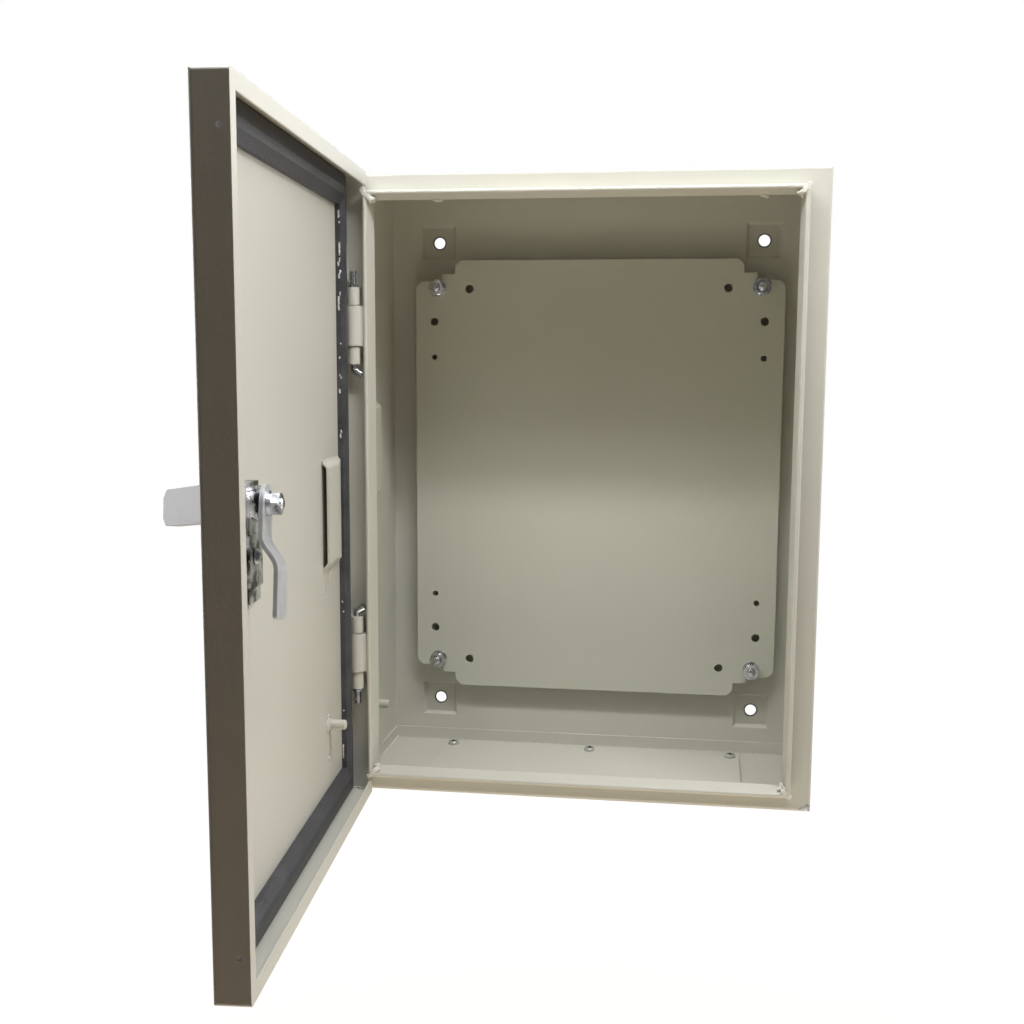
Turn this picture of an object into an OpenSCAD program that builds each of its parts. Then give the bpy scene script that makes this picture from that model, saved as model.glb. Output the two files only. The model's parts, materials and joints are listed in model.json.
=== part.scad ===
// Wall-mounted steel distribution box with a side-hinged door, shown with the door open.
// Millimetres, Z up, the wall behind the box at y = 0, the front towards -y.
// The origin is the centre of the four wall holes on the wall plane.

/* [Enclosure] */
// Outside width of the box and of the door
body_w = 300; // [280:1:400]
// Outside height of the box and of the door
body_h = 400; // [390:1:500]
// Depth from the front flange to the back sheet
body_d = 121; // [115:1:200]
// Sheet thickness of box and door
sheet_t = 1.2; // [1:0.1:1.4]
// Outside bend radius of the folded sheet
bend_r = 2; // [1.6:0.1:3]
// Sealing lip inset from the left and right outside faces
lip_inset_x = 13.4; // [13.2:0.1:15]
// Sealing lip inset from the top and bottom outside faces
lip_inset_z = 11.7; // [11.5:0.1:14]
// Sealing lip height in front of the flange
lip_h = 11.4; // [10:0.1:12]
// Outside thickness of the fold at the front of the lip
fold_w = 2.9; // [2.9:0.1:3.4]
// Outside thickness of the lip at the end of its folded-back leaf
hem_w = 5; // [4:0.1:5.6]
// Reach of the folded-back leaf behind the front of the lip
hem_leaf = 12.5; // [8:0.5:12.5]

/* [Wall pads] */
// Wall hole spacing across
wall_dx = 230; // [220:1:235]
// Wall hole spacing up and down
wall_dz = 335; // [330:1:340]
// Wall hole diameter
wall_hole_d = 8; // [6:0.5:10]
// Side of the square embossed pad
pad_w = 25; // [20:0.5:28]
// Height of the pad behind the back sheet
pad_depth = 3; // [2:0.5:5]

/* [Floor and gland plate] */
// Height of the upturned welding flanges of the floor
floor_flange_h = 9.6; // [8:0.2:14]
// Gland plate width
gland_w = 214; // [180:1:230]
// Gland plate depth
gland_d = 87; // [70:1:90]
// Gland plate thickness
gland_t = 1.5; // [1:0.1:3]
// Gasket thickness under the gland plate
gland_seal_t = 1.5; // [1:0.1:3]
// Screw inset from the gland plate edges
gland_screw_in = 6.5; // [6:0.5:8]

/* [Mounting plate] */
// Mounting plate width
plate_w = 260; // [250:1:270]
// Mounting plate height
plate_h = 309; // [300:1:312]
// Mounting plate thickness
plate_t = 1.5; // [1:0.1:3]
// Gap between back sheet and mounting plate
plate_gap = 8; // [6:0.5:30]
// Stud inset from the left and right edges of the mounting plate
stud_in_x = 16; // [14:0.5:19]
// Stud inset from the top and bottom edges of the mounting plate
stud_in_z = 19.5; // [18.5:0.5:22.5]
// Stud thread diameter
stud_d = 6; // [5:0.5:6]

/* [Door and hinges] */
// Door thickness from the outside face to the return lips
door_depth = 17.4; // [17:0.1:20]
// Gap between the return lips and the box flange
door_gap = 1; // [0.8:0.1:1.2]
// Width of the return lips
return_w = 8.4; // [7.8:0.1:9.4]
// Width of the foam gasket band
seal_w = 19.5; // [18:0.5:21]
// Opening angle shown
door_open = 85.5; // [0:0.5:91]
// Hinge axis inset from the hinge-side outside face
hinge_in = 6.76; // [6.6:0.02:6.9]
// Hinge axis in front of the box flange
hinge_fwd = 9.35; // [9.2:0.05:9.5]
// Hinge middle inset from the top and bottom edges of the door
hinge_end = 95; // [85:1:110]
// Length of the box-side hinge barrel
barrel_len = 25; // [20:1:30]
// Hinge pin diameter
pin_d = 4.6; // [4:0.1:5]

/* [Lock] */
// Lock axis inset from the free edge of the door
lock_in = 57; // [56.5:0.5:62]
// Lock axis above the middle of the door
lock_z = 17.5; // [0:0.5:60]
// Reach of the cam from the lock axis
cam_reach = 53; // [48:0.5:53]
// Width of the cam
cam_w = 18; // [16:0.5:20]
// Length of the handle from its pivot
handle_len = 60; // [45:1:60]
// Width of the handle
handle_w = 18; // [15:0.5:19]
// Turn of the lock shown, from the unlocked stop towards locked
lock_turned = 10; // [0:1:30]
// Angle of the popped handle
handle_pop = 40; // [0:1:45]
// Travel of the release button
button_travel = 1.8; // [1:0.1:1.9]

/* [Straps and earth studs] */
// Clear height under a cable strap
strap_clear = 3; // [2.5:0.5:4]
// Width of a cable strap
strap_w = 44; // [40:1:48]
// Length of a cable strap
strap_len = 66; // [50:1:80]
// Length of an earth stud
earth_len = 11; // [8:0.5:16]

/* [Hidden] */

paint = [0.80, 0.79, 0.73];
zinc = [0.72, 0.73, 0.75];
foam = [0.12, 0.12, 0.13];

$fn = 48;
cut = 1;
thread_gap = 0.05;
turn_gap = 0.06;
seal_gap = 0.35;
swing_gap = 0.35;
slide_gap = 0.3;

// main planes
half_w = body_w / 2;
half_h = body_h / 2;
back_y = -pad_depth;
back_in_y = back_y - sheet_t;
flange_y = back_y - body_d;
lip_y = flange_y - lip_h;
lip_x = half_w - lip_inset_x;
lip_z = half_h - lip_inset_z;
wall_in_x = half_w - sheet_t;
floor_z = -half_h + sheet_t;
door_back_y = flange_y - door_gap;
door_out_y = door_back_y - door_depth;
panel_y = door_out_y + sheet_t;
hem_r = fold_w / 2;
hem_mid_y = lip_y + hem_r;
leaf_y = lip_y + hem_leaf;
pad_slope = 2;

// hinge
axis_x = -half_w + hinge_in;
axis_y = flange_y - hinge_fwd;
hinge_z = half_h - hinge_end;
swing_r = hinge_fwd - swing_gap;
flange_end = sqrt(swing_r * swing_r - hinge_in * hinge_in);
return_cut = sqrt(swing_r * swing_r - pow(hinge_fwd - door_gap, 2));
door_wall = hinge_in - sheet_t;
barrel_r = door_wall - swing_gap;
leaf_t = 1.5;
leaf_len = 84;
leaf_barrel_r = 4.2;
leaf_barrel_len = 11;
barrel_gap = 0.4;
spine_y = sqrt(pow(barrel_r + swing_gap, 2) - pow(door_wall - leaf_t, 2)) + swing_gap;
pin_r = pin_d / 2;
pin_above = 10;
pin_below = 3.5;
pin_top = barrel_len / 2 + barrel_gap + leaf_barrel_len + pin_above;
pin_bend = barrel_len / 2 + barrel_gap + leaf_barrel_len + pin_below;
pin_angle = 60;
pin_arm = (lip_inset_x - hinge_in - swing_gap - pin_r * cos(pin_angle)) / sin(pin_angle);
clip_t = 1.2;
clip_rim = 1.5;
clip_r = pin_r + clip_rim;
web_front = 1.2;
web_back = 4.8;

// mounting plate studs, corner steps and holes
stud_dx = plate_w - 2 * stud_in_x;
stud_dz = plate_h - 2 * stud_in_z;
corner_cut = 4.3;
step_a = [19, 14.5];
step_b = [28.5, 9.5];
hole_m_d = 5.8;
hole_s_d = 4;
hole_top = [39, 20];
hole_side = [13.5, 43];
hole_low = [13.5, 68.2];
washer_r = 6.2;
washer_t = 1.2;
spring_r = 5;
spring_t = 1.6;
spring_slit = 0.8;
nut_af = 10;
nut_h = 5;
nut_bevel = 0.5;
tip_bevel = 0.7;
stud_tip = 2.5;
stud_len = plate_gap + plate_t + washer_t + spring_t + nut_h + stud_tip;
spacer_r = 5.5;

// gland plate
gland_mid_y = (flange_y + back_in_y) / 2;
gland_rim = 14;
gland_screw_r = 2;
gland_head_r = 3.8;
gland_head_h = 2.4;

// straps and studs
bend_steps = 10;
strap_t = 1.2;
strap_foot = 0.6;
strap_slant = 4.6;
strap_bend_z = strap_len / 2 - strap_foot;
strap_dip_w = 14;
strap_dip = 7;
earth_r = 3;
earth_base_r = 5;
earth_base_t = 1.5;
body_strap_in = 43;
body_strap_y = flange_y + body_strap_in;
body_strap_z = 23;
body_earth_in = 53.5;
body_earth_y = flange_y + body_earth_in;
body_earth_up = 44;
body_earth_z = -half_h + body_earth_up;
door_strap_in = 48;
door_strap_x = -half_w + door_strap_in;
door_strap_z = -8.7;
door_earth_in = 60;
door_earth_x = -half_w + door_earth_in;
door_earth_up = 61.2;
door_earth_z = -half_h + door_earth_up;

// door
seal_t = lip_y - seal_gap - panel_y;
seal_side = bend_r - sheet_t;
seal_edge = 3.2;
seal_crest = 1;
seal_notch_spare = 8;
seal_notch_z = hinge_z + leaf_len / 2 + seal_notch_spare;
edge_hole_d = 2.4;
edge_hole_y = 12.6;
edge_hole_in = 23;
edge_hole_z = half_h - edge_hole_in;

// lock, measured from the lock axis and the inside face of the door panel
lock_x = half_w - lock_in;
plate_out_t = 2.5;
plate_half_w = 14;
plate_up = 20;
plate_down = 85;
plate_corner = 5;
case_half_w = 10.5;
case_up = 10;
case_down = 52;
case_slope = 6;
case_h = 6;
neck_r = 8.5;
neck_h = 11;
spindle_r = 5;
clamp_t = 1.2;
clamp_gap = 0.2;
clamp_half_w = case_half_w + clamp_gap + clamp_t;
clamp_high = case_h + clamp_t;
clamp_top = -14;
clamp_end = -46;
lock_screw_z = -24.5;
lock_screw_r = 2;
lock_screw_deep = 5;
lock_head_r = 3.8;
lock_head_h = 2.4;
lock_dome_r = 4.4;
face_y = -sheet_t - plate_out_t;
head_r = 9;
head_floor = 2;
tongue_half = 4;
lever_half_t = 3.5;
lever_clear = 0.5;
pivot_y = face_y - slide_gap - head_floor - lever_clear - lever_half_t;
head_top_y = pivot_y - lever_half_t + slide_gap;
lever_start = 11.2;
handle_pin_r = 1.5;
handle_pin_bite = 3;
handle_corner = 4;
cam_t = 2;
cam_corner = 2.5;
cam_y = neck_h + slide_gap;
cam_clear = 0.5;
cam_tip_y = door_depth + door_gap + cam_clear;
crank_start = 15.5;
crank_run = 15;
cam_washer_t = 0.9;
cam_spring_t = 1.1;
cam_nut_h = 4.2;
cam_tip_out = 1.1;
thread_r = 3;
button_z = -72;
button_r = 4.5;
button_out = 2.2;
button_head_in = 1.6;
boss_r = 7.5;
boss_h = 4.5;
boss_y = face_y - boss_h;
plug_r = 6;
pocket_spare = 0.1;
pocket_depth = button_head_in + button_travel + pocket_spare;
stem_r = 2.5;
ring_r = 4.2;
ring_t = 0.8;
ring_gap = 0.15;
ring_room = 0.4;
ring_depth = 2.2;
stem_out = 0.4;

// round bar along Y from y0 to y1
module bar_y(radius, y0, y1) {
    translate([0, y0, 0]) rotate([-90, 0, 0]) cylinder(r = radius, h = y1 - y0);
}

// round bar along Y from y0 to y1 with a bevelled tip at y1
module tipped_bar(radius, y0, y1) {
    long = abs(y1 - y0);
    translate([0, y0, 0]) rotate([y1 > y0 ? -90 : 90, 0, 0]) {
        cylinder(r = radius, h = long - tip_bevel);
        translate([0, 0, long - tip_bevel]) cylinder(r1 = radius, r2 = radius - tip_bevel, h = tip_bevel);
    }
}

// two faces of a sheet of given thickness that rises smoothly over a run
function bend_near(rise, run) = [for (i = [0 : bend_steps]) bend_point(rise, run, 0, i / bend_steps)];
function bend_far(rise, run, thick) =
    [for (i = [bend_steps : -1 : 0]) bend_point(rise, run, thick, i / bend_steps)];
function bend_point(rise, run, thick, u) =
    let (lean = rise * sin(180 * u) * PI / 2, long = norm([run, lean]))
    [rise * (1 - cos(180 * u)) / 2 + thick * run / long, run * u - thick * lean / long];

// profile drawn in Y and Z, drawn out along X between two planes
module along_x(x0, x1) {
    rotate([0, 0, 90]) rotate([90, 0, 0]) translate([0, 0, x0]) linear_extrude(height = x1 - x0) children();
}

// box given by two opposite corners
module block(low, high) {
    translate(low) cube(high - low);
}

// upright box between two Y planes, symmetric about X
module slab(half_x, y0, y1, z0, z1) {
    block([-half_x, y0, z0], [half_x, y1, z1]);
}

// rectangle with four round corners
module round_rect(low, high, radius) {
    translate([low[0] + radius, low[1]]) square([high[0] - low[0] - 2 * radius, high[1] - low[1]]);
    translate([low[0], low[1] + radius]) square([high[0] - low[0], high[1] - low[1] - 2 * radius]);
    for (px = [low[0] + radius, high[0] - radius])
        for (py = [low[1] + radius, high[1] - radius])
            translate([px, py]) circle(r = radius);
}

// box whose edges are all bent or ground round
module bent_block(half_x, half_z, y0, y1, radius) {
    intersection() {
        translate([0, 0, -half_z]) linear_extrude(height = 2 * half_z)
            round_rect([-half_x, y0], [half_x, y1], radius);
        along_x(-half_x, half_x) round_rect([y0, -half_z], [y1, half_z], radius);
        translate([0, y1, 0]) rotate([90, 0, 0]) linear_extrude(height = y1 - y0)
            round_rect([-half_x, -half_z], [half_x, half_z], radius);
    }
}

// rectangular frame with a wall set inwards from the outer half sizes
module frame(outer_x, outer_z, wall, y0, y1) {
    difference() {
        slab(outer_x, y0, y1, -outer_z, outer_z);
        slab(outer_x - wall, y0 - cut, y1 + cut, -outer_z + wall, outer_z - wall);
    }
}

// block tapering from the half sizes [x, z] at y0 to those at y1
module frustum(half_0, half_1, y0, y1) {
    wide = max(half_0[0], half_1[0]);
    high = max(half_0[1], half_1[1]);
    intersection() {
        translate([0, 0, -high]) linear_extrude(height = 2 * high)
            polygon([[-half_0[0], y0], [half_0[0], y0], [half_1[0], y1], [-half_1[0], y1]]);
        along_x(-wide, wide) polygon([[y0, -half_0[1]], [y0, half_0[1]], [y1, half_1[1]], [y1, -half_1[1]]]);
    }
}

// square pad tapering from the half size at y0 to the one at y1
module taper_pad(half_0, half_1, y0, y1) {
    frustum([half_0, half_0], [half_1, half_1], y0, y1);
}

// children at the four corners of a rectangle
module at_corners(dx, dz) {
    for (sx = [-1, 1])
        for (sz = [-1, 1])
            translate([sx * dx / 2, 0, sz * dz / 2]) children();
}

// half-round nose that closes the hem, mitred at the four corners
module hem_nose() {
    reach = 2 * fold_w;
    for (side = [-1, 1]) {
        intersection() {
            nose_bar(lip_x, [0, hem_mid_y, side * (lip_z - hem_r)], [0, 90, 0]);
            rotate([90, 0, 0]) linear_extrude(height = body_d + body_h)
                polygon([[lip_x + reach, side * (lip_z + reach)], [lip_x - reach, side * (lip_z - reach)],
                    [-lip_x + reach, side * (lip_z - reach)], [-lip_x - reach, side * (lip_z + reach)]]);
        }
        intersection() {
            nose_bar(lip_z, [side * (lip_x - hem_r), hem_mid_y, 0], [0, 0, 0]);
            rotate([90, 0, 0]) linear_extrude(height = body_d + body_h)
                polygon([[side * (lip_x + reach), lip_z + reach], [side * (lip_x - reach), lip_z - reach],
                    [side * (lip_x - reach), -lip_z + reach], [side * (lip_x + reach), -lip_z - reach]]);
        }
    }
}

// front half of a tube laid along one side of the lip
module nose_bar(half_len, place, turn) {
    translate(place) rotate(turn) difference() {
        cylinder(r = hem_r, h = 2 * half_len, center = true);
        cylinder(r = hem_r - sheet_t, h = 2 * half_len + cut, center = true);
        block([-fold_w, 0, -half_len - cut], [fold_w, fold_w, half_len + cut]);
    }
}

// half sizes of the lip, less an inset
function lip_half(inset) = [lip_x - inset, lip_z - inset];

// leaf of the lip folded back into the mouth, leaning inwards
module hem_back() {
    lean = (hem_w - fold_w) / (leaf_y - hem_mid_y) * cut;
    difference() {
        frustum(lip_half(fold_w - sheet_t), lip_half(hem_w - sheet_t), hem_mid_y, leaf_y);
        frustum(lip_half(fold_w - lean), lip_half(hem_w + lean), hem_mid_y - cut, leaf_y + cut);
    }
}

module shell() {
    mouth = lip_half(sheet_t);
    color(paint) difference() {
        union() {
            difference() {
                union() {
                    bent_block(half_w, half_h, flange_y, back_y, bend_r);
                    block([-wall_in_x, back_in_y - bend_r, -half_h], [wall_in_x, back_y, -half_h + bend_r]);
                }
                bent_block(wall_in_x, half_h - sheet_t, flange_y + sheet_t, back_in_y, bend_r - sheet_t);
                slab(mouth[0], flange_y - cut, flange_y + sheet_t + cut, -mouth[1], mouth[1]);
                slab(wall_in_x, flange_y + sheet_t, back_in_y, -half_h - cut, floor_z + floor_flange_h);
            }
            frame(lip_x, lip_z, sheet_t, hem_mid_y, flange_y + sheet_t);
            hem_back();
            hem_nose();
            at_corners(wall_dx, wall_dz)
                taper_pad(pad_w / 2 + sheet_t, pad_w / 2 + sheet_t - pad_slope, back_y - sheet_t / 2, 0);
        }
        at_corners(wall_dx, wall_dz) {
            taper_pad(pad_w / 2, pad_w / 2 - pad_slope, back_in_y, -sheet_t);
            bar_y(wall_hole_d / 2, back_in_y - cut, cut);
        }
    }
}

module floor_pan() {
    top_z = floor_z + floor_flange_h - sheet_t;
    color(paint) difference() {
        slab(wall_in_x, flange_y + sheet_t, back_in_y, -half_h, top_z);
        slab(wall_in_x - sheet_t, flange_y + sheet_t - cut, back_in_y - sheet_t, floor_z, top_z + cut);
        gland_opening(-half_h - cut, floor_z + cut);
        at_gland_screws() translate([0, 0, -half_h - cut])
            cylinder(r = gland_screw_r + thread_gap, h = 2 * sheet_t + cut);
    }
}

// cable opening inside the screwed rim of the gland plate
module gland_opening(z0, z1) {
    half_d = gland_d / 2 - gland_rim;
    translate([0, gland_mid_y, 0]) slab(gland_w / 2 - gland_rim, -half_d, half_d, z0, z1);
}

// children at the six gland plate screws
module at_gland_screws() {
    for (px = [-1, 0, 1])
        for (py = [-1, 1])
            translate([px * (gland_w / 2 - gland_screw_in), py * (gland_d / 2 - gland_screw_in), 0])
                translate([0, gland_mid_y, 0]) children();
}

module gland_gasket() {
    color(foam) translate([0, 0, floor_z]) difference() {
        translate([0, gland_mid_y, 0]) slab(gland_w / 2, -gland_d / 2, gland_d / 2, 0, gland_seal_t);
        gland_opening(-cut, gland_seal_t + cut);
        at_gland_screws() translate([0, 0, -cut])
            cylinder(r = gland_screw_r + thread_gap, h = gland_seal_t + 2 * cut);
    }
}

module gland_plate() {
    color(paint) translate([0, 0, floor_z + gland_seal_t]) difference() {
        translate([0, gland_mid_y, 0]) slab(gland_w / 2, -gland_d / 2, gland_d / 2, 0, gland_t);
        at_gland_screws() translate([0, 0, -cut])
            cylinder(r = gland_screw_r + thread_gap, h = gland_t + 2 * cut);
    }
}

module gland_screws() {
    top_z = floor_z + gland_seal_t + gland_t;
    color(zinc) at_gland_screws() {
        translate([0, 0, -half_h]) cylinder(r = gland_screw_r, h = top_z + half_h);
        translate([0, 0, top_z]) cylinder(r = gland_head_r, h = gland_head_h);
    }
}

module plate_studs() {
    color(zinc) at_corners(stud_dx, stud_dz) tipped_bar(stud_d / 2, back_in_y, back_in_y - stud_len);
}

// ring or nut along Y behind which the stack starts at depth y1
module stack_ring(radius, thick, y1, bore, sides) {
    difference() {
        translate([0, y1 - thick, 0]) rotate([-90, 0, 0]) cylinder(r = radius, h = thick, $fn = sides);
        bar_y(bore, y1 - thick - cut, y1 + cut);
    }
}

// hexagon nut along Y with bevelled corners, behind which the stack starts at depth y1
module nut(across, thick, y1, bore) {
    corner = across / sqrt(3);
    flat = across / 2;
    intersection() {
        stack_ring(corner, thick, y1, bore, 6);
        translate([0, y1 - thick, 0]) rotate([-90, 0, 0]) rotate_extrude()
            polygon([[0, 0], [flat, 0], [corner, nut_bevel], [corner, thick - nut_bevel],
                [flat, thick], [0, thick]]);
    }
}

module plate_spacers() {
    color(zinc) at_corners(stud_dx, stud_dz)
        stack_ring(spacer_r, plate_gap, back_in_y, stud_d / 2 + thread_gap, $fn);
}

// material taken from one corner of the mounting plate, drawn from that corner
module plate_corner_cut() {
    polygon([[cut, cut], [cut, -step_a[1] - corner_cut], [0, -step_a[1] - corner_cut],
        [-corner_cut, -step_a[1]], [-step_a[0], -step_a[1]], [-step_a[0], -step_b[1]],
        [-step_b[0], -step_b[1]], [-step_b[0], -corner_cut], [-step_b[0] - corner_cut, 0],
        [-step_b[0] - corner_cut, cut]]);
}

module plate_outline() {
    difference() {
        square([plate_w, plate_h], center = true);
        for (sx = [0, 1])
            for (sz = [0, 1])
                mirror([sx, 0]) mirror([0, sz]) {
                    translate([plate_w / 2, plate_h / 2]) plate_corner_cut();
                    translate([stud_dx / 2, stud_dz / 2]) circle(d = stud_d + 2 * thread_gap);
                    translate([plate_w / 2, plate_h / 2] - hole_top) circle(d = hole_m_d);
                    translate([plate_w / 2, plate_h / 2] - hole_side) circle(d = hole_m_d);
                    translate([plate_w / 2, plate_h / 2] - hole_low) circle(d = hole_s_d);
                }
    }
}

module mounting_plate() {
    color(paint) translate([0, back_in_y - plate_gap, 0]) rotate([90, 0, 0])
        linear_extrude(height = plate_t) plate_outline();
}

module plate_washers() {
    color(zinc) at_corners(stud_dx, stud_dz)
        stack_ring(washer_r, washer_t, back_in_y - plate_gap - plate_t, stud_d / 2 + thread_gap, $fn);
}

module plate_spring_washers() {
    y1 = back_in_y - plate_gap - plate_t - washer_t;
    color(zinc) at_corners(stud_dx, stud_dz) difference() {
        stack_ring(spring_r, spring_t, y1, stud_d / 2 + thread_gap, $fn);
        block([-spring_slit / 2, back_in_y - stud_len, 0], [spring_slit / 2, back_in_y, spring_r + cut]);
    }
}

module plate_nuts() {
    color(zinc) at_corners(stud_dx, stud_dz)
        nut(nut_af, nut_h, back_in_y - plate_gap - plate_t - washer_t - spring_t, stud_d / 2 + thread_gap);
}

// points of a bend moved to one end of a strap, or flipped to its other end
function strap_leg(points, flip) = [for (p = points) [p[0], flip * (p[1] - strap_bend_z)]];
function backwards(points) = [for (i = [len(points) - 1 : -1 : 0]) points[i]];

// solid under a strap's outer face, or under its inner face when hollow, sloping off at one side
module strap_bulk(hollow) {
    thick = hollow ? 0 : strap_t;
    near = bend_near(strap_clear, strap_slant);
    far = bend_far(strap_clear, strap_slant, strap_t);
    half = strap_w / 2 + (hollow ? cut : 0);
    end = strap_len / 2;
    fold = strap_dip_w - strap_w / 2;
    intersection() {
        along_x(-half, half)
            if (hollow)
                polygon(concat([[-cut, -strap_bend_z]], strap_leg(near, 1), backwards(strap_leg(near, -1)),
                    [[-cut, strap_bend_z]]));
            else
                polygon(concat([[0, -end], [0, end], [strap_t, end]], backwards(strap_leg(far, -1)),
                    strap_leg(far, 1), [[strap_t, -end]]));
        translate([fold, strap_clear + thick, 0]) rotate([0, 0, strap_dip])
            block([-strap_w, -strap_w, -strap_len], [strap_w, 0, strap_len]);
    }
}

// bridge for cable ties standing on the plane y = 0, clear side towards +y
module strap() {
    difference() {
        strap_bulk(false);
        strap_bulk(true);
    }
}

module earth_stud() {
    rotate([-90, 0, 0]) cylinder(r1 = earth_base_r, r2 = earth_r, h = earth_base_t);
    tipped_bar(earth_r, 0, earth_len);
}

// children turned so that their +y points into the box from the left wall
module on_left_wall(py, pz) {
    translate([-wall_in_x, py, pz]) rotate([0, 0, -90]) children();
}

module body_strap() {
    color(paint) on_left_wall(body_strap_y, body_strap_z) mirror([1, 0, 0]) strap();
}

module body_earth_stud() {
    color(paint) on_left_wall(body_earth_y, body_earth_z) earth_stud();
}

// children at the upper hinge, or mirrored at the lower one
module at_hinge(upper) {
    translate([axis_x, axis_y, upper ? hinge_z : -hinge_z]) mirror([0, 0, upper ? 0 : 1]) children();
}

module body_knuckle() {
    difference() {
        union() {
            cylinder(r = barrel_r, h = barrel_len, center = true);
            block([0, -web_front, -barrel_len / 2], [lip_inset_x - hinge_in, web_back, barrel_len / 2]);
        }
        cylinder(r = pin_r + turn_gap, h = barrel_len + cut, center = true);
    }
}

module hinge_upper_knuckle() {
    color(paint) at_hinge(true) body_knuckle();
}

module hinge_lower_knuckle() {
    color(paint) at_hinge(false) body_knuckle();
}

module hinge_pin() {
    translate([0, 0, -pin_bend]) {
        cylinder(r = pin_r, h = pin_bend + pin_top);
        sphere(r = pin_r);
        rotate([0, 180 - pin_angle, 0]) cylinder(r = pin_r, h = pin_arm);
    }
}

module hinge_upper_pin() {
    color(zinc) at_hinge(true) hinge_pin();
}

module hinge_lower_pin() {
    color(zinc) at_hinge(false) hinge_pin();
}

module pin_clip() {
    translate([0, 0, barrel_len / 2 + 2 * barrel_gap + leaf_barrel_len]) difference() {
        cylinder(r = clip_r, h = clip_t);
        translate([0, 0, -cut]) cylinder(r = pin_r + thread_gap, h = clip_t + 2 * cut);
        block([0, -pin_r / 2, -cut], [clip_r + cut, pin_r / 2, clip_t + cut]);
    }
}

module hinge_clips() {
    color(zinc) {
        at_hinge(true) pin_clip();
        at_hinge(false) pin_clip();
    }
}

// children drawn on the closed door, swung open about the hinge axis
module on_door() {
    translate([axis_x, axis_y, 0]) rotate([0, 0, -door_open]) translate([-axis_x, -axis_y, 0]) children();
}

// children measured from the lock axis on the inside face of the door panel
module on_lock() {
    on_door() translate([lock_x, panel_y, lock_z]) children();
}

// children that turn with the lock, shown part way from its unlocked stop
module on_rotor() {
    on_lock() rotate([0, -lock_turned, 0]) children();
}

module door_pan() {
    color(paint) on_door() difference() {
        bent_block(half_w, half_h, door_out_y, door_back_y + bend_r, bend_r);
        slab(half_w + cut, door_back_y, door_back_y + 2 * bend_r, -half_h - cut, half_h + cut);
        bent_block(wall_in_x, half_h - sheet_t, panel_y, door_back_y - sheet_t, bend_r - sheet_t);
        block([-wall_in_x, door_back_y - 2 * sheet_t, -half_h + return_w],
            [half_w - return_w, door_back_y + cut, half_h - return_w]);
        block([-half_w - cut, axis_y + flange_end, -half_h - cut],
            [axis_x - return_cut, door_back_y + cut, half_h + cut]);
        translate([lock_x, panel_y, lock_z]) lock_cutout();
        for (sz = [-1, 1])
            translate([half_w - 2 * sheet_t, door_out_y + edge_hole_y, sz * edge_hole_z])
                rotate([0, 90, 0]) cylinder(d = edge_hole_d, h = 3 * sheet_t);
    }
}

// openings in the door panel for the lock case and for the plug behind its button
module lock_cutout() {
    slab(case_half_w, -2 * sheet_t, sheet_t, -case_down, case_up);
    translate([0, 0, button_z]) bar_y(plug_r, -2 * sheet_t, sheet_t);
}

// foam band along the walls with a crest that meets the lip, notched beside the hinges
module door_gasket() {
    outer = [wall_in_x - seal_side, half_h - sheet_t - seal_side];
    inner = outer - [seal_w, seal_w];
    crest = lip_half(fold_w + seal_crest);
    spread = (crest - inner) * cut / (seal_t - seal_edge);
    edge_y = panel_y + seal_edge;
    top_y = panel_y + seal_t;
    color(foam) on_door() difference() {
        union() {
            slab(outer[0], panel_y, edge_y, -outer[1], outer[1]);
            frustum(outer, lip_half(-seal_crest), edge_y, top_y);
        }
        slab(inner[0], panel_y - cut, edge_y, -inner[1], inner[1]);
        frustum(inner, crest + spread, edge_y, top_y + cut);
        block([-half_w, panel_y - cut, -seal_notch_z], [-lip_x, top_y + cut, seal_notch_z]);
    }
}

// door leaf with two barrels, drawn about the hinge axis of the closed door
module door_leaf() {
    deep = panel_y - axis_y + bend_r - sheet_t;
    half_len = leaf_barrel_len / 2;
    difference() {
        union() {
            block([-door_wall, deep, -leaf_len / 2], [-door_wall + leaf_t, -spine_y, leaf_len / 2]);
            for (sz = [-1, 1])
                translate([0, 0, sz * (barrel_len / 2 + barrel_gap + leaf_barrel_len / 2)]) {
                    cylinder(r = leaf_barrel_r, h = leaf_barrel_len, center = true);
                    block([-door_wall, deep, -half_len], [-door_wall + leaf_t, leaf_barrel_r, half_len]);
                    block([-door_wall, -leaf_barrel_r, -half_len], [0, leaf_barrel_r, half_len]);
                }
        }
        cylinder(r = pin_r + turn_gap, h = leaf_len, center = true);
    }
}

module hinge_upper_leaf() {
    color(paint) on_door() at_hinge(true) door_leaf();
}

module hinge_lower_leaf() {
    color(paint) on_door() at_hinge(false) door_leaf();
}

module door_strap() {
    color(paint) on_door() translate([door_strap_x, panel_y, door_strap_z]) strap();
}

module door_earth_stud() {
    color(paint) on_door() translate([door_earth_x, panel_y, door_earth_z]) earth_stud();
}

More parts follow.
